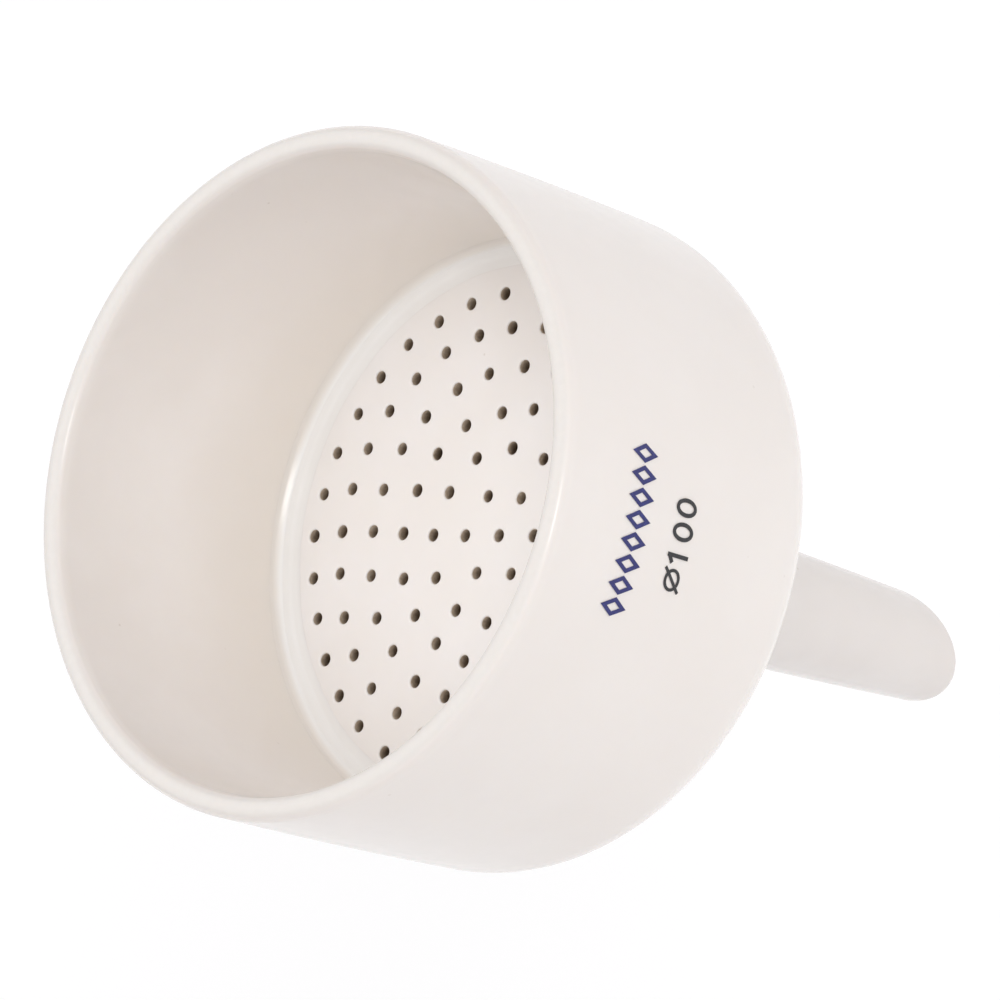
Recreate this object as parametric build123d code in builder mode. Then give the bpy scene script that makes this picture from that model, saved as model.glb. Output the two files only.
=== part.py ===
from build123d import *

import os
from math import cos, radians, sin, tan

# Porcelain Buchner funnel, nominal size 100 mm (the inside diameter at the rim).
# A bowl carries a perforated plate on an inner shelf, and a tapered stem with an
# oblique tip is socketed in the bowl's neck.  Both joints are luted with slip and
# fired.  Millimetres.  The funnel's axis is Z with the rim up, and the origin is on
# that axis at the middle of the stem's parallel grip.  A "depth" is measured down
# from the rim plane, and -Y is the side that carries the printed marks.

# Rim and wall
RIM_HEIGHT = 95.0  # rim plane above the origin
RIM_OUTER_RADIUS = 53.8
RIM_INNER_RADIUS = 50.0
RIM_OUTER_ROUNDING = 1.5
RIM_INNER_ROUNDING = 1.2
WALL_FOOT_DEPTH = 52.8
WALL_FOOT_RADIUS = 52.3
WALL_BULGE = 0.25

# Shoulder and underside
SHOULDER_RADIUS = 11.4
UNDERSIDE_SLOPE = 22.0  # degrees below horizontal, towards the neck
SOCKET_RADIUS = 8.0

# Perforated plate and the shelf that it lies on
PLATE_RADIUS = 46.4
PLATE_DEPTH = 46.5
PLATE_THICKNESS = 5.0
PLATE_FLAT_RADIUS = 43.6  # outside it the top is bevelled, to key the slip
PLATE_BEVEL = 0.8
SHELF_RADIUS = 44.9
SHELF_LIP = 1.2

# Collecting chamber below the plate
CHAMBER_ARC_RADIUS = 9.0

# Holes: a centre hole, five rings of 6, 12, 18, 24 and 30, and an outermost ring
HOLE_RADIUS = 1.0
RING_RADII = (7.1, 13.8, 19.9, 26.4, 32.9)
OUTER_RING_RADIUS = 38.5
OUTER_RING_COUNT = 35
RING_START = 35.3  # degrees; every ring has a hole on this spoke or 60 degrees on
OUTER_RING_START = 96.3
PATTERN_OFFSET = (-0.75, 0.11)  # the pattern is pierced slightly off the axis

# Slip that lutes the plate
FILLET_HEIGHT = 5.0
FILLET_COVE_RADIUS = 7.5
FILLET_BEAD_RADIUS = 44.7
FILLET_BEAD_HEIGHT = 0.45

# Stem
STEM_RADIUS = 10.0
GRIP_LENGTH = 20.0
STEM_TOP_RADIUS = 10.6  # above the grip the stem flares up to the underside
STEM_MIDDLE_DEPTH = 124.9
STEM_MIDDLE_RADIUS = 9.24
STEM_END_DEPTH = 158.0
STEM_END_RADIUS = 7.57
BORE_TOP_RADIUS = 6.0
BORE_END_RADIUS = 5.2
BORE_MOUTH_ROUNDING = 1.0
NECK_FILLET_RADIUS = 8.0

# Oblique tip
TIP_CENTRE_DEPTH = 144.6
TIP_SLANT = 43.5  # degrees from a square cut
TIP_LONG_SIDE = -136.0  # azimuth of the longest side
TIP_OUTER_ROUNDING = 1.2
TIP_INNER_ROUNDING = 0.6

# Printed marks, thin films on the wall, centred on -Y
PRINT_THICKNESS = 0.08
PRINT_REACH = 2.0  # how far a figure's outline is extruded, in and out, to meet the wall
PRINT_AZIMUTH = -90.0
PRINT_STROKE = 0.65
BAND_DEPTH = 18.1
BAND_COUNT = 8
BAND_WIDTH = 26.6
LOZENGE_WIDTH = 3.0
LOZENGE_HEIGHT = 5.8
FIGURE_DEPTH = 28.8
FIGURE_HEIGHT = 4.7
FIGURE_WIDTH = 2.9
FIGURE_PITCH = 3.7
FLAG_LENGTH = 1.6
FLAG_SHIFT = 0.53
FLAG_LEAN = 50.0
SIGN_RADIUS = 1.75
SIGN_STROKE = 0.5
SIGN_SLASH_LENGTH = 5.4
SIGN_LEAN = 40.0


def at(radius, depth):
    """A point of a profile in the XZ plane."""
    return (radius, RIM_HEIGHT - depth)


# Lines that several pieces share: the wall's outside, the shoulder below it and the
# two parallel cones of the underside.  The wall is a very shallow barrel.
WALL_MIDDLE_RADIUS = (RIM_OUTER_RADIUS + WALL_FOOT_RADIUS) / 2 + WALL_BULGE


def wall_arc(proud):
    """The wall's outside, or a line that stands proud of it."""
    return ThreePointArc(
        at(RIM_OUTER_RADIUS + proud, 0),
        at(WALL_MIDDLE_RADIUS + proud, WALL_FOOT_DEPTH / 2),
        at(WALL_FOOT_RADIUS + proud, WALL_FOOT_DEPTH),
    )


WALL = wall_arc(0)
WALL_END_SLANT = (WALL % 1).get_angle(Vector(0, -1))
SHOULDER = JernArc(
    start=WALL @ 1,
    tangent=WALL % 1,
    radius=SHOULDER_RADIUS,
    arc_size=WALL_END_SLANT + UNDERSIDE_SLOPE - 90,
)
CHAMBER_ARC = JernArc(
    start=at(SHELF_RADIUS, PLATE_DEPTH + PLATE_THICKNESS + SHELF_LIP),
    tangent=(0, -1),
    radius=CHAMBER_ARC_RADIUS,
    arc_size=UNDERSIDE_SLOPE - 90,
)


def on_cone(arc, radius):
    """The point at this radius on the cone that leaves the arc's end."""
    start = arc @ 1
    return (radius, start.Y - (start.X - radius) * tan(radians(UNDERSIDE_SLOPE)))


def wall_inside(depth):
    """Radius of the bowl's inside, which tapers from the rim to the plate."""
    return RIM_INNER_RADIUS + (PLATE_RADIUS - RIM_INNER_RADIUS) * depth / PLATE_DEPTH


# Bowl: wall, shoulder and underside in one, with a shelf and a socket for the stem
with BuildPart() as bowl:
    with BuildSketch(Plane.XZ):
        with BuildLine():
            add(WALL)
            add(SHOULDER)
            Polyline(
                SHOULDER @ 1,
                on_cone(SHOULDER, SOCKET_RADIUS),
                on_cone(CHAMBER_ARC, SOCKET_RADIUS),
                CHAMBER_ARC @ 1,
            )
            add(CHAMBER_ARC)
            Polyline(
                CHAMBER_ARC @ 0,
                at(SHELF_RADIUS, PLATE_DEPTH + PLATE_THICKNESS),
                at(PLATE_RADIUS, PLATE_DEPTH + PLATE_THICKNESS),
                at(PLATE_RADIUS, PLATE_DEPTH),
                at(RIM_INNER_RADIUS, 0),
                at(RIM_OUTER_RADIUS, 0),
            )
        make_face()
    revolve(axis=Axis.Z)
    rim_circles = bowl.edges().filter_by(GeomType.CIRCLE).group_by(Axis.Z)[-1]
    fillet(rim_circles.sort_by(SortBy.RADIUS)[-1], RIM_OUTER_ROUNDING)
    rim_circles = bowl.edges().filter_by(GeomType.CIRCLE).group_by(Axis.Z)[-1]
    fillet(rim_circles.sort_by(SortBy.RADIUS)[0], RIM_INNER_ROUNDING)
bowl.part.label = "bowl"

# Filter plate: a disc on the shelf, flat inside its bevelled edge, and pierced
with BuildPart() as filter_plate:
    with BuildSketch(Plane.XZ):
        with BuildLine():
            Polyline(
                at(0, PLATE_DEPTH),
                at(PLATE_FLAT_RADIUS, PLATE_DEPTH),
                at(PLATE_RADIUS, PLATE_DEPTH + PLATE_BEVEL),
                at(PLATE_RADIUS, PLATE_DEPTH + PLATE_THICKNESS),
                at(0, PLATE_DEPTH + PLATE_THICKNESS),
                close=True,
            )
        make_face()
    revolve(axis=Axis.Z)
    with BuildSketch(Plane.XY.offset(RIM_HEIGHT - PLATE_DEPTH)):
        with Locations(PATTERN_OFFSET):
            Circle(HOLE_RADIUS)
            for ring, ring_radius in enumerate(RING_RADII, start=1):
                with PolarLocations(ring_radius, 6 * ring, start_angle=RING_START):
                    Circle(HOLE_RADIUS)
            with PolarLocations(OUTER_RING_RADIUS, OUTER_RING_COUNT, OUTER_RING_START):
                Circle(HOLE_RADIUS)
    extrude(amount=-PLATE_THICKNESS, mode=Mode.SUBTRACT)
filter_plate.part.label = "filter_plate"

# Slip in the corner above the plate: a steep hollow cove that ends in a low round bead
with BuildPart() as plate_luting:
    with BuildSketch(Plane.XZ):
        cove_top = at(wall_inside(PLATE_DEPTH - FILLET_HEIGHT), PLATE_DEPTH - FILLET_HEIGHT)
        bead_top = at(FILLET_BEAD_RADIUS, PLATE_DEPTH - FILLET_BEAD_HEIGHT)
        toe = at(PLATE_FLAT_RADIUS, PLATE_DEPTH)
        with BuildLine():
            Polyline(
                cove_top,
                at(PLATE_RADIUS, PLATE_DEPTH),
                at(PLATE_RADIUS, PLATE_DEPTH + PLATE_BEVEL),
                toe,
            )
            TangentArc(bead_top, toe, tangent=(-1, 0))
            RadiusArc(bead_top, cove_top, -FILLET_COVE_RADIUS)
        make_face()
    revolve(axis=Axis.Z)
plate_luting.part.label = "plate_luting"

# Slip squeezed out below the plate, in the corner of the shelf's lip
with BuildPart() as shelf_luting:
    with BuildSketch(Plane.XZ):
        shelf_depth = PLATE_DEPTH + PLATE_THICKNESS
        shelf_corner = at(SHELF_RADIUS, shelf_depth)
        lip_foot = at(SHELF_RADIUS, shelf_depth + SHELF_LIP)
        plate_toe = at(SHELF_RADIUS - SHELF_LIP, shelf_depth)
        with BuildLine():
            Polyline(lip_foot, shelf_corner, plate_toe)
            RadiusArc(plate_toe, lip_foot, SHELF_LIP)
        make_face()
    revolve(axis=Axis.Z)
shelf_luting.part.label = "shelf_luting"

# Stem: a spigot in the bowl's socket, a parallel grip, and a taper cut off obliquely
tip_outward = Vector(cos(radians(TIP_LONG_SIDE)), sin(radians(TIP_LONG_SIDE)))
tip_plane = Plane(
    origin=(0, 0, RIM_HEIGHT - TIP_CENTRE_DEPTH),
    z_dir=tip_outward * sin(radians(TIP_SLANT)) + Vector(0, 0, cos(radians(TIP_SLANT))),
)
with BuildPart() as stem:
    with BuildSketch(Plane.XZ):
        grip_start = (STEM_RADIUS, GRIP_LENGTH / 2)
        grip_end = (STEM_RADIUS, -GRIP_LENGTH / 2)
        stem_end = at(STEM_END_RADIUS, STEM_END_DEPTH)
        with BuildLine():
            Polyline(
                on_cone(CHAMBER_ARC, BORE_TOP_RADIUS),
                on_cone(CHAMBER_ARC, SOCKET_RADIUS),
                on_cone(SHOULDER, SOCKET_RADIUS),
                on_cone(SHOULDER, STEM_TOP_RADIUS),
                grip_start,
                grip_end,
            )
            ThreePointArc(grip_end, at(STEM_MIDDLE_RADIUS, STEM_MIDDLE_DEPTH), stem_end)
            Polyline(
                stem_end,
                at(BORE_END_RADIUS, STEM_END_DEPTH),
                on_cone(CHAMBER_ARC, BORE_TOP_RADIUS),
            )
        make_face()
    revolve(axis=Axis.Z)
    split(bisect_by=tip_plane, keep=Keep.TOP)
    bore_mouth = stem.edges().filter_by(GeomType.CIRCLE).sort_by(SortBy.RADIUS)[0]
    fillet(bore_mouth, BORE_MOUTH_ROUNDING)
    tip_face = stem.faces().filter_by(GeomType.PLANE)[0]
    fillet(tip_face.outer_wire().edges(), TIP_OUTER_ROUNDING)
    tip_face = stem.faces().filter_by(GeomType.PLANE)[0]
    fillet(tip_face.inner_wires()[0].edges(), TIP_INNER_ROUNDING)
stem.part.label = "stem"

# Slip around the stem, in the corner below the underside: a wide cove that runs out
# smoothly on the underside and on the flared top of the stem
stem_top = Vector(*on_cone(SHOULDER, STEM_TOP_RADIUS))
grip_top = Vector(STEM_RADIUS, GRIP_LENGTH / 2)
with BuildPart() as stem_luting:
    with BuildSketch(Plane.XZ):
        reach = NECK_FILLET_RADIUS * tan(radians((90 - UNDERSIDE_SLOPE) / 2))
        cone_toe = on_cone(SHOULDER, STEM_TOP_RADIUS + reach * cos(radians(UNDERSIDE_SLOPE)))
        stem_toe = stem_top + (grip_top - stem_top).normalized() * reach
        with BuildLine():
            Polyline(cone_toe, stem_top, stem_toe)
            RadiusArc(stem_toe, cone_toe, NECK_FILLET_RADIUS)
        make_face()
    revolve(axis=Axis.Z)
stem_luting.part.label = "stem_luting"


def print_plane(place, count, pitch, depth):
    """A plane facing outward on the wall, for one of a row of figures a pitch apart."""
    along = (place - (count - 1) / 2) * pitch
    azimuth = radians(PRINT_AZIMUTH) + along / WALL_MIDDLE_RADIUS
    outward = Vector(cos(azimuth), sin(azimuth))
    return Plane(
        origin=outward * WALL_MIDDLE_RADIUS + Vector(0, 0, RIM_HEIGHT - depth),
        x_dir=(-sin(azimuth), cos(azimuth), 0),
        z_dir=outward,
    )


def draw_lozenge():
    """An open lozenge that stands upright."""
    Polygon(
        (0, LOZENGE_HEIGHT / 2),
        (-LOZENGE_WIDTH / 2, 0),
        (0, -LOZENGE_HEIGHT / 2),
        (LOZENGE_WIDTH / 2, 0),
    )
    offset(amount=-PRINT_STROKE, mode=Mode.SUBTRACT)


def draw_diameter_sign():
    """A ring with a stroke through it."""
    Circle(SIGN_RADIUS)
    Circle(SIGN_RADIUS - SIGN_STROKE, mode=Mode.SUBTRACT)
    Rectangle(SIGN_STROKE, SIGN_SLASH_LENGTH, rotation=-SIGN_LEAN)


def draw_one():
    """The figure 1: a stem and a short flag."""
    Rectangle(PRINT_STROKE, FIGURE_HEIGHT)
    with Locations((-FLAG_SHIFT, FIGURE_HEIGHT / 2 - FLAG_LENGTH / 2)):
        Rectangle(PRINT_STROKE, FLAG_LENGTH, rotation=-FLAG_LEAN)


def draw_zero():
    """The figure 0: an upright oval ring."""
    Ellipse(FIGURE_WIDTH / 2, FIGURE_HEIGHT / 2)
    Ellipse(
        FIGURE_WIDTH / 2 - PRINT_STROKE,
        FIGURE_HEIGHT / 2 - PRINT_STROKE,
        mode=Mode.SUBTRACT,
    )


# Film: a thin skin on the outside of the wall, from which the marks are cut
with BuildPart() as film:
    with BuildSketch(Plane.XZ):
        with BuildLine():
            add(WALL)
            film_arc = wall_arc(PRINT_THICKNESS)
            Line(WALL @ 0, film_arc @ 0)
            Line(WALL @ 1, film_arc @ 1)
        make_face()
    revolve(axis=Axis.Z)

# Blue band: a row of open lozenges
with BuildPart() as blue_band:
    band_pitch = (BAND_WIDTH - LOZENGE_WIDTH) / (BAND_COUNT - 1)
    for place in range(BAND_COUNT):
        with BuildSketch(print_plane(place, BAND_COUNT, band_pitch, BAND_DEPTH)):
            draw_lozenge()
        extrude(amount=PRINT_REACH, both=True)
    add(film.part, mode=Mode.INTERSECT)
blue_band.part.label = "blue_band"

# Size mark: the nominal diameter in figures
with BuildPart() as size_mark:
    figures = (draw_diameter_sign, draw_one, draw_zero, draw_zero)
    for place, draw_figure in enumerate(figures):
        with BuildSketch(print_plane(place, len(figures), FIGURE_PITCH, FIGURE_DEPTH)):
            draw_figure()
        extrude(amount=PRINT_REACH, both=True)
    add(film.part, mode=Mode.INTERSECT)
size_mark.part.label = "size_mark"

os.makedirs("parts", exist_ok=True)
export_step(bowl.part, "parts/bowl.step")
export_step(filter_plate.part, "parts/filter_plate.step")
export_step(plate_luting.part, "parts/plate_luting.step")
export_step(shelf_luting.part, "parts/shelf_luting.step")
export_step(stem.part, "parts/stem.step")
export_step(stem_luting.part, "parts/stem_luting.step")
export_step(blue_band.part, "parts/blue_band.step")
export_step(size_mark.part, "parts/size_mark.step")
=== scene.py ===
"""Looks of a glazed porcelain Buchner funnel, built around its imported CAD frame.

Every CAD piece except the two printed marks is replaced by a finer mesh of the same
shape.  Profiles are lists of (radius, depth) in millimetres, where depth is measured
down from the rim, and they become metres when a mesh is made.
"""

import math
import random

import bpy
from mathutils import Matrix, Vector, geometry, noise


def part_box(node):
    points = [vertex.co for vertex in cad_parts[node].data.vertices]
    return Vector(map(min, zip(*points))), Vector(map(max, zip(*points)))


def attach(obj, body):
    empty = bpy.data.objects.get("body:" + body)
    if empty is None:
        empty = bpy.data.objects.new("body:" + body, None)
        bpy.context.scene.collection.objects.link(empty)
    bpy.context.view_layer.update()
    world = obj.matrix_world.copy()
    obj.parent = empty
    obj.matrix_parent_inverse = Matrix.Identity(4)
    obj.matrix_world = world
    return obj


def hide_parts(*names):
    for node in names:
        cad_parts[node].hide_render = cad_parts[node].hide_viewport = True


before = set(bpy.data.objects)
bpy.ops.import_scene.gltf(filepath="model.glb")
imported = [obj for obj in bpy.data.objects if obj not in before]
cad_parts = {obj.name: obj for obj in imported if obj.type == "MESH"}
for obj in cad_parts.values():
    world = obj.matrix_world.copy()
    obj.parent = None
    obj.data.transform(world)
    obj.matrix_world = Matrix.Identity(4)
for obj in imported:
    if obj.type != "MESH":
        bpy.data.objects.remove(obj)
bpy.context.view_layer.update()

MM = 0.001
RIM_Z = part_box("bowl")[1].z
PLATE_TOP = (RIM_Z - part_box("filter_plate")[1].z) / MM
PLATE_BOTTOM = (RIM_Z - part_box("filter_plate")[0].z) / MM
TIP_DEPTH = (RIM_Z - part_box("stem")[0].z) / MM

# Bowl
RIM_OUTER = 53.76
RIM_INNER = 50.0
RIM_OUTER_ROUNDING = 1.8
RIM_INNER_ROUNDING = 1.5
RIM_CROWN = 0.06
RIM_EASE = 10.0
WALL_FOOT_DEPTH = 52.8
WALL_FOOT_RADIUS = 52.3
WALL_BULGE = 0.25
WALL_FOOT_SWELL = 0.5
SHOULDER_RADIUS = 11.4
UNDERSIDE_SLOPE = math.radians(22.0)
SOCKET_RADIUS = 8.0
PLATE_RADIUS = 46.4
SHELF_RADIUS = 44.9
SHELF_LIP = 1.2
CHAMBER_ARC_RADIUS = 9.0
SEGMENTS = 360

# Pierced plate
HOLE_RADIUS = 1.0
HOLE_LIP = 0.28
HOLE_SIDES = 32
RING_RADII = (7.1, 13.8, 19.9, 26.4, 32.9)
RING_START = math.radians(35.3)
OUTER_RING_RADIUS = 38.5
OUTER_RING_COUNT = 35
OUTER_RING_START = math.radians(96.3)
PATTERN_OFFSET = Vector((-0.75, 0.11))
HOLE_WANDER = 0.16
HOLE_LEAN = 0.25
HOLE_LEVELS = 6
CLAY_SHADE_FADE = 2.4
PLATE_SAG = 0.05
PLATE_EDGE_SIDES = 240
GRID_SPACING = 1.5
GRID_ROW_PITCH = 0.866
GRID_EDGE_GAP = 0.8
GRID_HOLE_GAP = 1.1

# Glaze tones as sRGB triples, in light and dark pairs; outside and foot are single
CREAM = ((246, 241, 237), (242, 236, 231))
OUTER_CREAM = (240, 233, 228)
PLATE_CREAM = ((241, 237, 235), (238, 233, 229))
# The slip's whiter cream is painted light: it lifts the shade in the corner by the wall and
# brightens the bead.
SLIP_PAINTED_LIGHT_CREAM = ((251, 249, 246), (248, 245, 241))
# The stem's duller cream is painted shade under the bowl; the neck's slip shares it.
STEM_SHADED_CREAM = ((236, 231, 228), (231, 225, 221))
# The foot tone is painted shade: the inner wall darkens toward the plate, in the corner by it.
FOOT_PAINTED_SHADE = (237, 230, 222)
OUTSIDE_SHARE = 0.6
FOOT_SHADE_DEPTH = 20.0

# Other colours as sRGB triples: the rim's dry land, pinholes, clay in the holes with painted
# shade deeper down, and inks
DRY_LAND = ((231, 226, 221), (233, 228, 223))
PINHOLE = (176, 158, 138)
# The deep clay tone is partly the clay's own colour, partly painted shade down the hole.
DEEP_CLAY_SHADE = ((92, 70, 50), (118, 94, 70))
PALE_CLAY = ((196, 178, 156), (216, 202, 184))
BLUE_INK = ((22, 26, 104), (40, 46, 130))
BLACK_INK = ((24, 24, 28), (52, 52, 58))
FLOOR_WHITE = ((250, 250, 250), (252, 252, 252))

# Surface of the glaze
GLAZE_ROUGHNESS = 0.19
GLAZE_SATIN = 0.06
LAND_DULLING = 0.01
GLAZE_IOR = 1.42
GLAZE_SUBSURFACE = 0.12
SUBSURFACE_RADIUS = (0.0022, 0.0018, 0.0013)
COAT_WEIGHT = 0.2
COAT_ROUGHNESS = 0.22

# Slip above the plate: a steep cove runs down to a groove, with a low bead inside it
COVE_HEIGHT = 2.0
GROOVE_RADIUS = 44.95
BEAD_HEIGHT = 0.2
BEAD_REACH = 3.0
SLIP_SHIFT = (0.25, -0.4)
SLIP_EDGE_SINK = 0.06
SLIP_BURIAL = 0.1
SLIP_FOOT_SINK = 0.03
NECK_FILLET_RADIUS = 8.0

# Stem
STEM_RADIUS = 10.0
STEM_TOP_RADIUS = 10.6
GRIP_START_DEPTH = 85.0
GRIP_END_DEPTH = 105.0
STEM_MIDDLE = (9.24, 124.9)
STEM_END = (7.57, 158.0)
BORE_TOP_RADIUS = 6.0
BORE_END_RADIUS = 5.2
TIP_CENTRE_DEPTH = 144.6
TIP_SLANT = math.radians(43.5)
TIP_LONG_SIDE = math.radians(-136.0)
TIP_OUTER_ROUNDING = 1.2
TIP_INNER_ROUNDING = 0.6
STEM_SHIFT = 0.5
STEM_LEAN = 0.0015

# Studio: the surround's brightness and colours, a square key light in metres and watts,
# and a floor in metres
HORIZON_LIGHT = 0.5
ZENITH_LIGHT = 1.39
SIDE_COLOUR = (0.24, 0.19, 0.18, 1.0)
FRONT_COLOUR = (0.985, 0.99, 1.0, 1.0)
SIDE_START = 0.45
KEY_PLACE = (0.1, -1.6, 1.75)
KEY_SIZE = 0.5
KEY_POWER = 7.8
KEY_AIM_DEPTH = 40
FLOOR_HALF_WIDTH = 12.0
FLOOR_DROP = 0.45
FLOOR_GLOW_COLOUR = (1.0, 0.98, 0.97, 1.0)
FLOOR_GLOW = 0.065

# Camera, aimed at a point given from the middle of the rim
CAMERA_AZIMUTH = math.radians(-6.36)
CAMERA_ELEVATION = math.radians(46.80)
CAMERA_ROLL = math.radians(73.28)
CAMERA_DISTANCE = 1.8136
CAMERA_AIM = Vector((0.0020, -0.0226, -0.0208))
CAMERA_LENS = 432.0
CAMERA_SENSOR = 36.0

random.seed(7)


# ---------------------------------------------------------------- mesh helpers


def to_metres(radius, angle, depth):
    """A point of the funnel from its radius, azimuth and depth below the rim."""
    return (
        radius * math.cos(angle) * MM,
        radius * math.sin(angle) * MM,
        RIM_Z - depth * MM,
    )


def segment(start, end, steps):
    """Points from start towards end, without the last one."""
    return [
        tuple(a + (b - a) * i / steps for a, b in zip(start, end))
        for i in range(steps)
    ]


def arc(centre, radius, start, end, steps):
    """Points of an arc, without the last one.  Angle 0 is outward and 90 is up."""
    points = []
    for i in range(steps):
        angle = math.radians(start + (end - start) * i / steps)
        points.append(
            (centre[0] + radius * math.cos(angle), centre[1] - radius * math.sin(angle))
        )
    return points


def smooth_curve(points, steps):
    """A Catmull-Rom curve through points, without the last one."""
    ends = [points[0], *points, points[-1]]
    curve = []
    for before, start, end, after in zip(ends, ends[1:], ends[2:], ends[3:]):
        for i in range(steps):
            t = i / steps
            curve.append(
                tuple(
                    0.5
                    * (
                        2 * b
                        + (c - a) * t
                        + (2 * a - 5 * b + 4 * c - d) * t * t
                        + (3 * b - a - 3 * c + d) * t**3
                    )
                    for a, b, c, d in zip(before, start, end, after)
                )
            )
    return curve


def ripple(angle, depth, size, amount, seed):
    """A slow, seeded unevenness of a hand-finished surface, from 0 to amount."""
    where = Vector((math.cos(angle) * size, math.sin(angle) * size, depth * 0.02 * size))
    return amount * (0.5 + 0.5 * noise.noise(where + Vector((seed, 0, 0))))


def lathe(name, profile_at, segments=SEGMENTS, shift_at=None):
    """A closed ring whose profile, in (radius, depth), may change with azimuth.

    shift_at gives, for a depth, how far in millimetres the axis has moved toward +X.
    """
    vertices = []
    for turn in range(segments):
        angle = 2 * math.pi * turn / segments
        for radius, depth in profile_at(angle):
            x, y, z = to_metres(radius, angle, depth)
            if shift_at:
                x += shift_at(depth) * MM
            vertices.append((x, y, z))
    count = len(vertices) // segments
    faces = []
    for turn in range(segments):
        here, there = turn * count, (turn + 1) % segments * count
        for i in range(count):
            j = (i + 1) % count
            faces.append((here + i, there + i, there + j, here + j))
    return make_piece(name, vertices, faces)


def make_piece(name, vertices, faces):
    """A smooth-shaded mesh object, with edges left sharp where they turn hard."""
    mesh = bpy.data.meshes.new(name)
    mesh.from_pydata(vertices, [], faces)
    mesh.validate()
    mesh.shade_smooth()
    mesh.set_sharp_from_angle(angle=math.radians(50))
    piece = bpy.data.objects.new(name, mesh)
    bpy.context.scene.collection.objects.link(piece)
    return piece


# ---------------------------------------------------------------- outlines


def wall_outside(depth):
    """Outer radius of the wall, a shallow barrel that narrows downward."""
    t = depth / WALL_FOOT_DEPTH
    return RIM_OUTER + (WALL_FOOT_RADIUS - RIM_OUTER) * t + 4 * WALL_BULGE * t * (1 - t)


def wall_inside(depth):
    """Inner radius of the wall, which narrows down to the plate, a little more at last."""
    t = depth / PLATE_TOP
    return RIM_INNER + (PLATE_RADIUS - RIM_INNER) * t - WALL_FOOT_SWELL * t**4


def shoulder_arc():
    """Centre of the shoulder's arc and the angle at which it leaves the wall."""
    slope = (WALL_FOOT_RADIUS - RIM_OUTER - 4 * WALL_BULGE) / WALL_FOOT_DEPTH
    lean = math.atan(-slope)
    centre = (
        WALL_FOOT_RADIUS - SHOULDER_RADIUS * math.cos(lean),
        WALL_FOOT_DEPTH - SHOULDER_RADIUS * math.sin(lean),
    )
    return centre, math.degrees(lean)


def on_cone(centre, arc_radius, radius):
    """Depth, at this radius, of the cone that is tangent to an arc below it."""
    along = centre[0] * math.sin(UNDERSIDE_SLOPE) + centre[1] * math.cos(UNDERSIDE_SLOPE)
    return (along + arc_radius - radius * math.sin(UNDERSIDE_SLOPE)) / math.cos(
        UNDERSIDE_SLOPE
    )


SHOULDER_CENTRE, SHOULDER_LEAN = shoulder_arc()
CHAMBER_CENTRE = (SHELF_RADIUS - CHAMBER_ARC_RADIUS, PLATE_BOTTOM + SHELF_LIP)
CONE_START = math.degrees(UNDERSIDE_SLOPE) - 90


def underside(radius):
    """Depth of the bowl's underside at this radius."""
    return on_cone(SHOULDER_CENTRE, SHOULDER_RADIUS, radius)


def chamber_floor(radius):
    """Depth of the collecting chamber's floor at this radius."""
    return on_cone(CHAMBER_CENTRE, CHAMBER_ARC_RADIUS, radius)


def rim_arc_depth(rounding):
    """Depth of the centre of a rounding that eases into the crown of the rim."""
    return RIM_CROWN + rounding * math.cos(math.radians(RIM_EASE))


def bowl_profile(angle):
    """The bowl's section, from the socket out and up the wall, and down inside."""
    shoulder = arc(SHOULDER_CENTRE, SHOULDER_RADIUS, CONE_START, -SHOULDER_LEAN, 24)
    cone_foot = (SOCKET_RADIUS, underside(SOCKET_RADIUS))
    points = segment(cone_foot, shoulder[0], 20) + shoulder
    rounding = RIM_OUTER_ROUNDING
    steps = 44
    rim_foot = rim_arc_depth(rounding)
    for i in range(steps):
        depth = WALL_FOOT_DEPTH + (rim_foot - WALL_FOOT_DEPTH) * i / steps
        points.append((wall_outside(depth), depth))
    points = [(r - ripple(angle, d, 1.6, 0.05, 3.0), d) for r, d in points]
    rim_centre = (wall_outside(rounding) - rounding, rim_arc_depth(rounding))
    points += arc(rim_centre, rounding, 0, 90 - RIM_EASE, 12)
    mouth_centre = (RIM_INNER + RIM_INNER_ROUNDING, rim_arc_depth(RIM_INNER_ROUNDING))
    mouth = arc(mouth_centre, RIM_INNER_ROUNDING, 90 + RIM_EASE, 177, 14)
    ease = math.sin(math.radians(RIM_EASE))
    land_start = rim_centre[0] + rounding * ease
    land_end = mouth[0][0]
    for i in range(8):
        t = i / 8
        drop = RIM_CROWN * (1 - 4 * t * (1 - t))
        points.append((land_start + (land_end - land_start) * t, drop))
    points += mouth
    inside = []
    for i in range(steps):
        depth = mouth_centre[1] + (PLATE_TOP - mouth_centre[1]) * i / steps
        inside.append((wall_inside(depth) + ripple(angle, depth, 2.2, 0.06, 9.0), depth))
    points += inside
    points += [
        (PLATE_RADIUS, PLATE_TOP),
        (PLATE_RADIUS, PLATE_BOTTOM),
        (SHELF_RADIUS, PLATE_BOTTOM),
    ]
    points += arc(CHAMBER_CENTRE, CHAMBER_ARC_RADIUS, 0, CONE_START, 20)
    cone_top = (
        CHAMBER_CENTRE[0] + CHAMBER_ARC_RADIUS * math.sin(UNDERSIDE_SLOPE),
        CHAMBER_CENTRE[1] + CHAMBER_ARC_RADIUS * math.cos(UNDERSIDE_SLOPE),
    )
    points += segment(cone_top, (SOCKET_RADIUS, chamber_floor(SOCKET_RADIUS)), 20)
    points.append((SOCKET_RADIUS, chamber_floor(SOCKET_RADIUS)))
    return points


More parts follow.
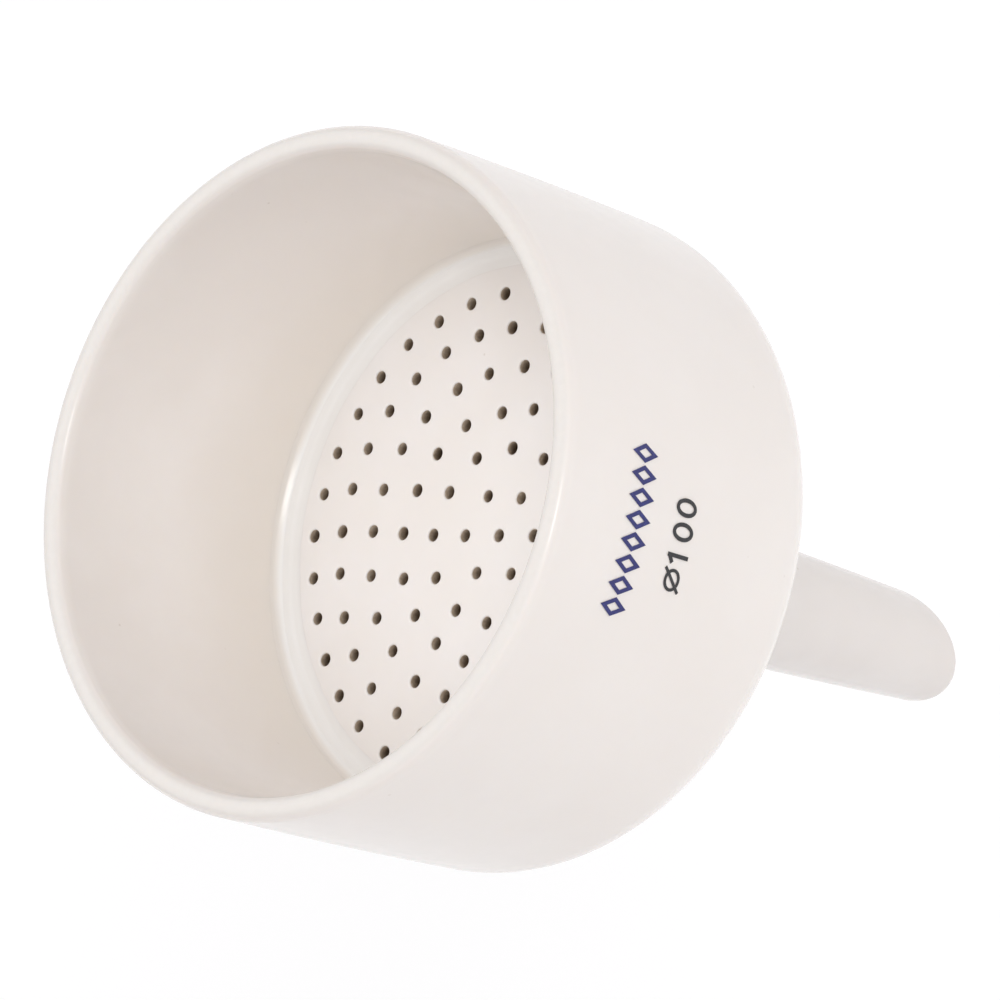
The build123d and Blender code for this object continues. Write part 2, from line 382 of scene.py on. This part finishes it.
def plate_slip_profile(angle):
    """Slip above the plate: a feathered bead, a faint groove, and a cove up the wall."""
    shift_x, shift_y = SLIP_SHIFT
    wander = shift_x * math.cos(angle) + shift_y * math.sin(angle)
    wander += ripple(angle, 0.0, 5.0, 0.3, 21.0) - 0.15
    swell = ripple(angle, 0.0, 9.0, 0.12, 33.0)
    groove = GROOVE_RADIUS + wander
    top = PLATE_TOP - COVE_HEIGHT
    wall = wall_inside(top) + SLIP_EDGE_SINK
    rise = wall - groove
    heights = (
        (groove - BEAD_REACH, 0.0),
        (groove - 2.4, 0.04),
        (groove - 1.6, BEAD_HEIGHT * 0.45),
        (groove - 0.9, BEAD_HEIGHT * 0.85 + swell),
        (groove - 0.35, BEAD_HEIGHT + swell),
        (groove, BEAD_HEIGHT * 1.1 + swell),
        (groove + rise * 0.25, BEAD_HEIGHT * 1.6),
        (groove + rise * 0.55, 0.75),
        (groove + rise * 0.82, 1.25),
        (wall, COVE_HEIGHT),
    )
    curve = smooth_curve([(r, PLATE_TOP - h) for r, h in heights], 6)
    return curve + [
        (wall + SLIP_BURIAL, top),
        (PLATE_RADIUS + SLIP_BURIAL, PLATE_TOP + SLIP_FOOT_SINK),
        (groove - BEAD_REACH, PLATE_TOP + SLIP_FOOT_SINK),
    ]


def shelf_slip_profile(_angle):
    """Slip below the plate: a small cove in the corner of the shelf's lip."""
    centre = (SHELF_RADIUS - SHELF_LIP, PLATE_BOTTOM + SHELF_LIP)
    return arc(centre, SHELF_LIP, 90, 0, 8) + [
        (SHELF_RADIUS, PLATE_BOTTOM + SHELF_LIP),
        (SHELF_RADIUS, PLATE_BOTTOM),
    ]


def neck_slip_profile(angle):
    """Slip round the stem below the bowl: a wide cove, tangent to both."""
    reach = NECK_FILLET_RADIUS * math.tan((math.pi / 2 - UNDERSIDE_SLOPE) / 2)
    stem_toe = (STEM_TOP_RADIUS, underside(STEM_TOP_RADIUS) + reach)
    centre = (STEM_TOP_RADIUS + NECK_FILLET_RADIUS, stem_toe[1])
    sag = ripple(angle, 0.0, 4.0, 0.1, 41.0)
    steps = 18
    curve = arc(centre, NECK_FILLET_RADIUS, 180, 90 + math.degrees(UNDERSIDE_SLOPE), steps)
    slack = STEM_TOP_RADIUS - stem_outside(stem_toe[1])
    eased = []
    for i, (radius, depth) in enumerate(curve):
        t = i / steps
        eased.append((radius + sag * math.sin(math.pi * t) - slack * (1 - t) ** 2, depth))
    cone_toe = STEM_TOP_RADIUS + reach * math.cos(UNDERSIDE_SLOPE)
    return eased + [
        (cone_toe, underside(cone_toe)),
        (STEM_RADIUS, underside(STEM_RADIUS)),
        (STEM_RADIUS, stem_toe[1]),
    ]


def stem_outside(depth):
    """Outer radius of the stem: a slight flare, the parallel grip, and an easy taper."""
    if depth <= GRIP_START_DEPTH:
        top = underside(STEM_TOP_RADIUS)
        t = (GRIP_START_DEPTH - depth) / (GRIP_START_DEPTH - top)
        return STEM_RADIUS + (STEM_TOP_RADIUS - STEM_RADIUS) * t
    if depth <= GRIP_END_DEPTH:
        return STEM_RADIUS
    run = depth - GRIP_END_DEPTH
    (middle_radius, middle_depth), (end_radius, end_depth) = STEM_MIDDLE, STEM_END
    middle_run, end_run = middle_depth - GRIP_END_DEPTH, end_depth - GRIP_END_DEPTH
    middle_fall = (STEM_RADIUS - middle_radius) / middle_run
    end_fall = (STEM_RADIUS - end_radius) / end_run
    bend = (end_fall - middle_fall) / (end_run - middle_run)
    return STEM_RADIUS - run * (middle_fall + bend * (run - middle_run))


def stem_shift(depth):
    """How far the stem, luted in by hand, stands off the axis at this depth."""
    start = underside(STEM_TOP_RADIUS)
    t = min(max((depth - start) / NECK_FILLET_RADIUS, 0.0), 1.0)
    return STEM_SHIFT * t * t * (3 - 2 * t) + STEM_LEAN * max(depth - start, 0.0)


def bore(depth):
    """Radius of the passage through the stem."""
    top = chamber_floor(BORE_TOP_RADIUS)
    t = (depth - top) / (STEM_END[1] - top)
    return BORE_TOP_RADIUS + (BORE_END_RADIUS - BORE_TOP_RADIUS) * t


def tip_depth(radius, angle):
    """Depth of the slanted cut at this radius and azimuth."""
    return TIP_CENTRE_DEPTH + math.tan(TIP_SLANT) * radius * math.cos(angle - TIP_LONG_SIDE)


def cut_point(radius_at, angle):
    """Where the stem's outside or its bore meets the slanted cut."""
    depth = TIP_CENTRE_DEPTH
    for _ in range(20):
        depth = tip_depth(radius_at(depth), angle)
    return (radius_at(depth), depth)


def rounded(before, corner, after, radius, steps):
    """Points that turn a corner on an arc of this radius."""
    corner = Vector(corner)
    inward = (Vector(before) - corner).normalized()
    onward = (Vector(after) - corner).normalized()
    half = inward.angle(onward) / 2
    centre = corner + (inward + onward).normalized() * (radius / math.sin(half))
    first = corner + inward * (radius / math.tan(half)) - centre
    last = corner + onward * (radius / math.tan(half)) - centre
    sweep = math.pi - 2 * half
    points = []
    for i in range(steps + 1):
        t = i / steps
        spoke = first * math.sin((1 - t) * sweep) + last * math.sin(t * sweep)
        points.append(tuple(centre + spoke / math.sin(sweep)))
    return points


def stem_profile(angle):
    """The stem's section: spigot, outside, rounded slanted tip, and bore."""
    outer_cut = cut_point(stem_outside, angle)
    inner_cut = cut_point(bore, angle)
    outer_corner = rounded(
        (stem_outside(outer_cut[1] - 5), outer_cut[1] - 5),
        outer_cut,
        inner_cut,
        TIP_OUTER_ROUNDING,
        10,
    )
    inner_corner = rounded(
        outer_cut,
        inner_cut,
        (bore(inner_cut[1] - 5), inner_cut[1] - 5),
        TIP_INNER_ROUNDING,
        6,
    )
    points = [
        (SOCKET_RADIUS, chamber_floor(SOCKET_RADIUS)),
        (SOCKET_RADIUS, underside(SOCKET_RADIUS)),
    ]
    top = underside(STEM_TOP_RADIUS)
    steps = 70
    for i in range(steps):
        depth = top + (outer_corner[0][1] - top) * i / steps
        points.append((stem_outside(depth) - ripple(angle, depth, 1.1, 0.05, 57.0), depth))
    points += outer_corner + inner_corner
    top = chamber_floor(BORE_TOP_RADIUS)
    start = inner_corner[-1][1]
    steps = 40
    for i in range(1, steps):
        depth = start + (top + 1.0 - start) * i / steps
        points.append((bore(depth), depth))
    points += rounded(
        (bore(top + 5), top + 5),
        (bore(top), top),
        (SOCKET_RADIUS, chamber_floor(SOCKET_RADIUS)),
        1.0,
        5,
    )
    return points


# ---------------------------------------------------------------- pierced plate


def hole_centres():
    """Centres of the pierced holes, each a little off its place, as hand work is."""
    places = [Vector((0.0, 0.0))]
    for ring, radius in enumerate(RING_RADII, start=1):
        for i in range(6 * ring):
            angle = RING_START + 2 * math.pi * i / (6 * ring)
            places.append(Vector((math.cos(angle), math.sin(angle))) * radius)
    for i in range(OUTER_RING_COUNT):
        angle = OUTER_RING_START + 2 * math.pi * i / OUTER_RING_COUNT
        places.append(Vector((math.cos(angle), math.sin(angle))) * OUTER_RING_RADIUS)
    return [
        place
        + PATTERN_OFFSET
        + Vector((random.gauss(0, HOLE_WANDER), random.gauss(0, HOLE_WANDER)))
        for place in places
    ]


def pierced_plate(name):
    """The plate: a flat disc with round-lipped holes that run right through."""
    centres = hole_centres()
    steps_out = (0.0, 0.02, 0.06, 0.13, HOLE_LIP, 0.55)
    points, drops, rims = [], [], []
    for centre in centres:
        size = HOLE_RADIUS * random.uniform(0.95, 1.05)
        rims.append(len(points))
        for out in steps_out:
            for side in range(HOLE_SIDES):
                angle = 2 * math.pi * side / HOLE_SIDES
                spoke = Vector((math.cos(angle), math.sin(angle)))
                points.append(centre + spoke * (size + out))
                inside = max(HOLE_LIP - out, 0.0)
                drops.append(HOLE_LIP - math.sqrt(HOLE_LIP**2 - inside**2))
    edge_start, edge_sides = len(points), PLATE_EDGE_SIDES
    for side in range(edge_sides):
        angle = 2 * math.pi * side / edge_sides
        points.append(Vector((math.cos(angle), math.sin(angle))) * PLATE_RADIUS)
        drops.append(0.0)
    rows = int(PLATE_RADIUS / (GRID_SPACING * GRID_ROW_PITCH)) + 1
    for row in range(-rows, rows + 1):
        for column in range(-rows, rows + 1):
            x = (column + 0.5 * (row % 2)) * GRID_SPACING
            place = Vector((x, row * GRID_SPACING * GRID_ROW_PITCH))
            near = min((place - centre).length for centre in centres)
            clear = near > HOLE_RADIUS + GRID_HOLE_GAP
            if place.length < PLATE_RADIUS - GRID_EDGE_GAP and clear:
                points.append(place)
                drops.append(0.0)
    result = geometry.delaunay_2d_cdt(points, [], [], 0, 1e-5)
    origins = [sources[0] for sources in result[3]]
    mouths = {start + side: start for start in rims for side in range(HOLE_SIDES)}
    triangles = []
    for triangle in result[2]:
        corners = [origins[i] for i in triangle]
        owners = {mouths.get(i, -1 - i) for i in corners}
        if len(owners) > 1:
            triangles.append(corners)
    return plate_solid(name, points, drops, triangles, rims, (edge_start, edge_sides))


def plate_solid(name, points, drops, triangles, rims, edge):
    """Gives the flat triangulation its thickness, and lines each hole with a wall."""
    vertices, faces, lining = [], [], []
    total = len(points)
    for place, drop in zip(points, drops):
        sag = PLATE_SAG * noise.noise(Vector((place.x, place.y, 0)) * 0.08)
        depth = PLATE_TOP + drop + max(sag, 0)
        vertices.append((place.x * MM, place.y * MM, RIM_Z - depth * MM))
    leans = [
        Vector((random.gauss(0, HOLE_LEAN), random.gauss(0, HOLE_LEAN))) for _ in rims
    ]
    ring_size = rims[1] - rims[0]
    for i, (place, drop) in enumerate(zip(points, drops)):
        hole = i // ring_size
        shift = leans[hole] if hole < len(rims) else Vector((0, 0))
        x, y = place + shift
        vertices.append((x * MM, y * MM, RIM_Z - (PLATE_BOTTOM - drop) * MM))
    for a, b, c in triangles:
        faces.append((a, b, c))
        faces.append((a + total, c + total, b + total))
    for start in rims:
        levels = [list(range(start, start + HOLE_SIDES))]
        for level in range(1, HOLE_LEVELS):
            row = []
            for side in range(HOLE_SIDES):
                top = Vector(vertices[start + side])
                bottom = Vector(vertices[start + side + total])
                row.append(len(vertices))
                vertices.append(tuple(top.lerp(bottom, level / HOLE_LEVELS)))
            levels.append(row)
        levels.append([start + side + total for side in range(HOLE_SIDES)])
        for upper, lower in zip(levels, levels[1:]):
            for side in range(HOLE_SIDES):
                after = (side + 1) % HOLE_SIDES
                lining.append(len(faces))
                faces.append((upper[side], upper[after], lower[after], lower[side]))
    start, sides = edge
    for side in range(sides):
        here, after = start + side, start + (side + 1) % sides
        faces.append((after, here, here + total, after + total))
    piece = make_piece(name, vertices, faces)
    for index in lining:
        piece.data.polygons[index].material_index = 1
    return piece


# ---------------------------------------------------------------- materials


class Graph:
    """A small helper for building one material's node tree."""

    def __init__(self, name):
        self.material = bpy.data.materials.new(name)
        self.material.use_nodes = True
        self.tree = self.material.node_tree
        self.shader = self.tree.nodes["Principled BSDF"]

    def node(self, kind, values=None, **settings):
        """Adds a node, sets its properties, and sets or links its inputs."""
        node = self.tree.nodes.new(kind)
        for key, value in settings.items():
            setattr(node, key, value)
        for key, value in (values or {}).items():
            self.put(node.inputs[key], value)
        return node

    def put(self, socket, value):
        """Links a socket to another node's output, or sets its value."""
        if isinstance(value, bpy.types.NodeSocket):
            self.tree.links.new(value, socket)
        else:
            socket.default_value = value

    def place(self):
        """Object coordinates, in metres."""
        return self.node("ShaderNodeTexCoord").outputs["Object"]

    def noise(self, scale, detail=2.0, roughness=0.5):
        """Noise from 0 to 1 with this many features to the metre."""
        values = {
            "Vector": self.place(),
            "Scale": scale,
            "Detail": detail,
            "Roughness": roughness,
        }
        return self.node("ShaderNodeTexNoise", values).outputs["Fac"]

    def ramp(self, value, low, high):
        """Maps value from low..high to 0..1, clamped and smooth."""
        values = {"Value": value, "From Min": low, "From Max": high}
        node = self.node("ShaderNodeMapRange", values, interpolation_type="SMOOTHSTEP")
        return node.outputs["Result"]

    def maths(self, operation, a, b):
        """One arithmetic step."""
        node = self.node("ShaderNodeMath", {0: a, 1: b}, operation=operation)
        return node.outputs["Value"]

    def mix(self, factor, a, b):
        """A blend of two colours."""
        values = {"Factor": factor, "A": a, "B": b}
        node = self.tree.nodes.new("ShaderNodeMix")
        node.data_type = "RGBA"
        sockets = [s for s in node.inputs if s.name in values and s.enabled]
        for socket in sockets:
            self.put(socket, values[socket.name])
        return next(s for s in node.outputs if s.enabled)

    def specks(self, scale, size, share):
        """A mask of small round specks on a share of the cells of a Voronoi pattern."""
        values = {"Vector": self.place(), "Scale": scale}
        cells = self.node("ShaderNodeTexVoronoi", values)
        chosen = self.node("ShaderNodeSeparateColor", {"Color": cells.outputs["Color"]})
        near = self.ramp(cells.outputs["Distance"], size, size * 0.45)
        keep = self.maths("LESS_THAN", chosen.outputs["Red"], share)
        return self.maths("MULTIPLY", near, keep)

    def bump(self, height, strength, distance):
        """Bends the surface by a height pattern."""
        values = {"Height": height, "Strength": strength, "Distance": distance}
        return self.node("ShaderNodeBump", values).outputs["Normal"]


def rgb(red, green, blue):
    """A colour given as an sRGB triple from 0 to 255."""

    def linear(value):
        value /= 255
        return value / 12.92 if value <= 0.04045 else ((value + 0.055) / 1.055) ** 2.4

    return (linear(red), linear(green), linear(blue), 1.0)


def porcelain(name, light, dark):
    """Glazed porcelain: two close creams, faint clouding, pinholes, and a soft gloss.

    Returns the graph with its colour and roughness, for the caller to change and link.
    """
    graph = Graph(name)
    clouds = graph.ramp(graph.noise(38.0, 3.0), 0.35, 0.68)
    colour = graph.mix(clouds, rgb(*dark), rgb(*light))
    mottle = graph.ramp(graph.noise(420.0, 2.0), 0.30, 0.75)
    colour = graph.mix(graph.maths("MULTIPLY", mottle, 0.22), colour, rgb(*dark))
    pinholes = graph.specks(150.0, 0.055, 0.22)
    colour = graph.mix(graph.maths("MULTIPLY", pinholes, 0.35), colour, rgb(*PINHOLE))
    graph.put(graph.shader.inputs["Base Color"], colour)
    satin = graph.maths("MULTIPLY", graph.noise(260.0, 3.0), GLAZE_SATIN)
    rough = graph.maths("ADD", satin, GLAZE_ROUGHNESS)
    height = graph.noise(170.0, 2.0)
    graph.put(graph.shader.inputs["Normal"], graph.bump(height, 0.04, 0.0006))
    return graph, colour, rough


def axis_distance(graph):
    """Distance from the funnel's axis."""
    flat = graph.node("ShaderNodeVectorMath", {0: graph.place()}, operation="MULTIPLY")
    flat.inputs[1].default_value = (1.0, 1.0, 0.0)
    length = graph.node(
        "ShaderNodeVectorMath", {0: flat.outputs["Vector"]}, operation="LENGTH"
    )
    return length.outputs["Value"]


def glazed_wall(name):
    """Porcelain of the bowl: painted shade inside toward the foot, a drier land on the rim."""
    graph, colour, rough = porcelain(name, *CREAM)
    height = graph.node("ShaderNodeSeparateXYZ", {"Vector": graph.place()}).outputs["Z"]
    outside = graph.ramp(axis_distance(graph), RIM_INNER * MM, (RIM_INNER + 0.5) * MM)
    # Painted shade: inside, the wall darkens toward the plate at its foot.
    above = graph.ramp(height, RIM_Z - PLATE_TOP * MM, RIM_Z - FOOT_SHADE_DEPTH * MM)
    share = graph.maths("MULTIPLY", outside, OUTSIDE_SHARE)
    colour = graph.mix(share, colour, rgb(*OUTER_CREAM))
    plain = graph.maths("MAXIMUM", outside, above)
    colour = graph.mix(plain, rgb(*FOOT_PAINTED_SHADE), colour)
    land = graph.ramp(height, RIM_Z - 0.75 * MM, RIM_Z - 0.15 * MM)
    grain = graph.ramp(graph.noise(900.0, 2.0), 0.3, 0.75)
    dry = graph.mix(grain, rgb(*DRY_LAND[0]), rgb(*DRY_LAND[1]))
    graph.put(graph.shader.inputs["Base Color"], graph.mix(land, colour, dry))
    more = graph.maths("MULTIPLY", land, LAND_DULLING)
    graph.put(graph.shader.inputs["Roughness"], graph.maths("ADD", rough, more))
    return glaze(graph)


def glazed_plain(name, light, dark):
    """Porcelain of a piece that has no ground land."""
    graph, _colour, rough = porcelain(name, light, dark)
    graph.put(graph.shader.inputs["Roughness"], rough)
    return glaze(graph)


def glazed_slip(name):
    """Slip above the plate: whiter as painted light, with the foot's painted shade up the cove
    and the plate's tone at the toe.
    """
    graph, colour, rough = porcelain(name, *SLIP_PAINTED_LIGHT_CREAM)
    across = axis_distance(graph)
    # Painted shade: up the cove the slip takes the wall foot's darker tone.
    lip = graph.ramp(across, GROOVE_RADIUS * MM, (GROOVE_RADIUS + 1.0) * MM)
    colour = graph.mix(lip, colour, rgb(*FOOT_PAINTED_SHADE))
    toe = GROOVE_RADIUS - BEAD_REACH
    away = graph.ramp(across, (toe - 1.2) * MM, (toe + 0.4) * MM)
    colour = graph.mix(away, rgb(*PLATE_CREAM[0]), colour)
    graph.put(graph.shader.inputs["Base Color"], colour)
    graph.put(graph.shader.inputs["Roughness"], rough)
    return glaze(graph)


def glaze(graph):
    """The settings that are the same all over a glazed surface."""
    shader = graph.shader.inputs
    shader["IOR"].default_value = GLAZE_IOR
    shader["Subsurface Weight"].default_value = GLAZE_SUBSURFACE
    shader["Subsurface Radius"].default_value = SUBSURFACE_RADIUS
    shader["Subsurface Scale"].default_value = 1.0
    shader["Coat Weight"].default_value = COAT_WEIGHT
    shader["Coat Roughness"].default_value = COAT_ROUGHNESS
    return graph.material


def bisque(name):
    """Clay inside a pierced hole: pale near the glazed mouth, darker farther down as painted
    shade.
    """
    graph = Graph(name)
    grain = graph.ramp(graph.noise(1800.0, 3.0), 0.3, 0.75)
    height = graph.node("ShaderNodeSeparateXYZ", {"Vector": graph.place()}).outputs["Z"]
    mouth = RIM_Z - PLATE_TOP * MM
    # Painted shade: the hole's wall darkens with depth below its mouth.
    near = graph.ramp(height, mouth - CLAY_SHADE_FADE * MM, mouth)
    deep_shade = graph.mix(grain, rgb(*DEEP_CLAY_SHADE[0]), rgb(*DEEP_CLAY_SHADE[1]))
    pale = graph.mix(grain, rgb(*PALE_CLAY[0]), rgb(*PALE_CLAY[1]))
    graph.put(graph.shader.inputs["Base Color"], graph.mix(near, deep_shade, pale))
    graph.put(graph.shader.inputs["Normal"], graph.bump(grain, 0.3, 0.0002))
    graph.shader.inputs["Roughness"].default_value = 0.6
    return graph.material


def ink(name, full, worn):
    """Fired transfer colour, a little thin in places."""
    graph = Graph(name)
    thin = graph.ramp(graph.noise(1500.0, 3.0), 0.45, 0.85)
    graph.put(graph.shader.inputs["Base Color"], graph.mix(thin, rgb(*full), rgb(*worn)))
    sheen = graph.maths("ADD", graph.maths("MULTIPLY", thin, 0.15), 0.28)
    graph.put(graph.shader.inputs["Roughness"], sheen)
    return graph.material


def dress(piece, *materials):
    """Gives a new piece its materials."""
    for material in materials:
        piece.data.materials.append(material)


# ---------------------------------------------------------------- the funnel


def build_funnel():
    """Makes each piece, in place of its CAD node."""
    wall = glazed_wall("glazed_wall")
    # The stem and neck take a duller cream, painted shade under the bowl.
    plain = glazed_plain("glazed_stem", *STEM_SHADED_CREAM)
    plate = glazed_plain("glazed_plate", *PLATE_CREAM)
    # The slip's whiter glaze is painted light.
    slip = glazed_slip("glazed_slip")
    clay = bisque("pierced_clay_and_shade")
    pieces = (
        (lathe("bowl_body", bowl_profile), "bowl", "glazed_porcelain", (wall,)),
        (pierced_plate("plate_disc"), "filter_plate", "glazed_porcelain", (plate, clay)),
        (lathe("plate_slip", plate_slip_profile), "plate_luting", "luting_slip", (slip,)),
        (lathe("shelf_slip", shelf_slip_profile, 180), "shelf_luting", "luting_slip", (plate,)),
        (lathe("stem_tube", stem_profile, 180, stem_shift), "stem", "glazed_porcelain", (plain,)),
        (
            lathe("neck_slip", neck_slip_profile, 180, stem_shift),
            "stem_luting",
            "luting_slip",
            (plain,),
        ),
    )
    for piece, node, slot, materials in pieces:
        dress(piece, *materials)
        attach(piece, "root")
        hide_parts(node)
    print_ink = {
        "blue_band": ink("blue_ink", *BLUE_INK),
        "size_mark": ink("black_ink", *BLACK_INK),
    }
    for node, material in print_ink.items():
        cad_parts[node].material_slots[0].material = material


# ---------------------------------------------------------------- the studio


def floor():
    """A wide pale floor, far enough down that the funnel's shadow on it is faint."""
    size = FLOOR_HALF_WIDTH
    low = RIM_Z - TIP_DEPTH * MM - FLOOR_DROP
    corners = [(-size, -size, low), (size, -size, low), (size, size, low), (-size, size, low)]
    mesh = bpy.data.meshes.new("floor")
    mesh.from_pydata(corners, [], [(0, 1, 2, 3)])
    piece = bpy.data.objects.new("floor", mesh)
    bpy.context.scene.collection.objects.link(piece)
    graph = Graph("floor_paint")
    tone = graph.ramp(graph.noise(3.0, 2.0), 0.3, 0.8)
    white = graph.mix(tone, rgb(*FLOOR_WHITE[0]), rgb(*FLOOR_WHITE[1]))
    graph.put(graph.shader.inputs["Base Color"], white)
    graph.shader.inputs["Roughness"].default_value = 0.9
    graph.shader.inputs["Emission Color"].default_value = FLOOR_GLOW_COLOUR
    graph.shader.inputs["Emission Strength"].default_value = FLOOR_GLOW
    piece.data.materials.append(graph.material)


def softbox(name, place, aim, size, power):
    """A square area light that faces its aim."""
    light = bpy.data.lights.new(name, "AREA")
    light.shape = "SQUARE"
    light.size = size
    light.energy = power
    lamp = bpy.data.objects.new(name, light)
    bpy.context.scene.collection.objects.link(lamp)
    lamp.location = place
    lamp.rotation_euler = (Vector(aim) - Vector(place)).to_track_quat("-Z", "Y").to_euler()


def studio_light():
    """A surround, brighter overhead and duller at both sides, and a key in front."""
    world = bpy.data.worlds.new("surround")
    bpy.context.scene.world = world
    world.use_nodes = True
    nodes, links = world.node_tree.nodes, world.node_tree.links
    direction = nodes.new("ShaderNodeTexCoord").outputs["Generated"]
    split = nodes.new("ShaderNodeSeparateXYZ")
    links.new(direction, split.inputs["Vector"])
    around, upward = nodes.new("ShaderNodeMapRange"), nodes.new("ShaderNodeMapRange")
    sideways = nodes.new("ShaderNodeMath")
    sideways.operation = "ABSOLUTE"
    around.inputs["From Min"].default_value = 1.0
    around.inputs["From Max"].default_value = SIDE_START
    upward.inputs["To Min"].default_value = HORIZON_LIGHT
    upward.inputs["To Max"].default_value = ZENITH_LIGHT
    links.new(split.outputs["X"], sideways.inputs[0])
    links.new(sideways.outputs["Value"], around.inputs["Value"])
    links.new(split.outputs["Z"], upward.inputs["Value"])
    ramp = nodes.new("ShaderNodeValToRGB")
    ramp.color_ramp.elements[0].color = SIDE_COLOUR
    ramp.color_ramp.elements[1].color = FRONT_COLOUR
    links.new(around.outputs["Result"], ramp.inputs["Fac"])
    background = nodes["Background"]
    links.new(ramp.outputs["Color"], background.inputs["Color"])
    links.new(upward.outputs["Result"], background.inputs["Strength"])
    aim = (0.0, 0.0, RIM_Z - KEY_AIM_DEPTH * MM)
    softbox("key", KEY_PLACE, aim, KEY_SIZE, KEY_POWER)


def camera():
    """A long lens at the funnel's side, above the rim, rolled well over."""
    azimuth, elevation = CAMERA_AZIMUTH, CAMERA_ELEVATION
    toward = Vector(
        (
            math.sin(azimuth) * math.cos(elevation),
            -math.cos(azimuth) * math.cos(elevation),
            math.sin(elevation),
        )
    )
    level = Vector((math.cos(azimuth), math.sin(azimuth), 0.0))
    upright = toward.cross(level)
    right = level * math.cos(CAMERA_ROLL) - upright * math.sin(CAMERA_ROLL)
    up = level * math.sin(CAMERA_ROLL) + upright * math.cos(CAMERA_ROLL)
    place = Vector((0, 0, RIM_Z)) + CAMERA_AIM + toward * CAMERA_DISTANCE
    lens = bpy.data.cameras.new("camera")
    lens.lens = CAMERA_LENS
    lens.sensor_width = CAMERA_SENSOR
    lens.clip_end = 100.0
    view = bpy.data.objects.new("camera", lens)
    bpy.context.scene.collection.objects.link(view)
    turn = Matrix((right, up, toward)).transposed().to_4x4()
    view.matrix_world = Matrix.Translation(place) @ turn
    bpy.context.scene.camera = view


build_funnel()
floor()
studio_light()
camera()
bpy.context.scene.view_settings.view_transform = "Standard"
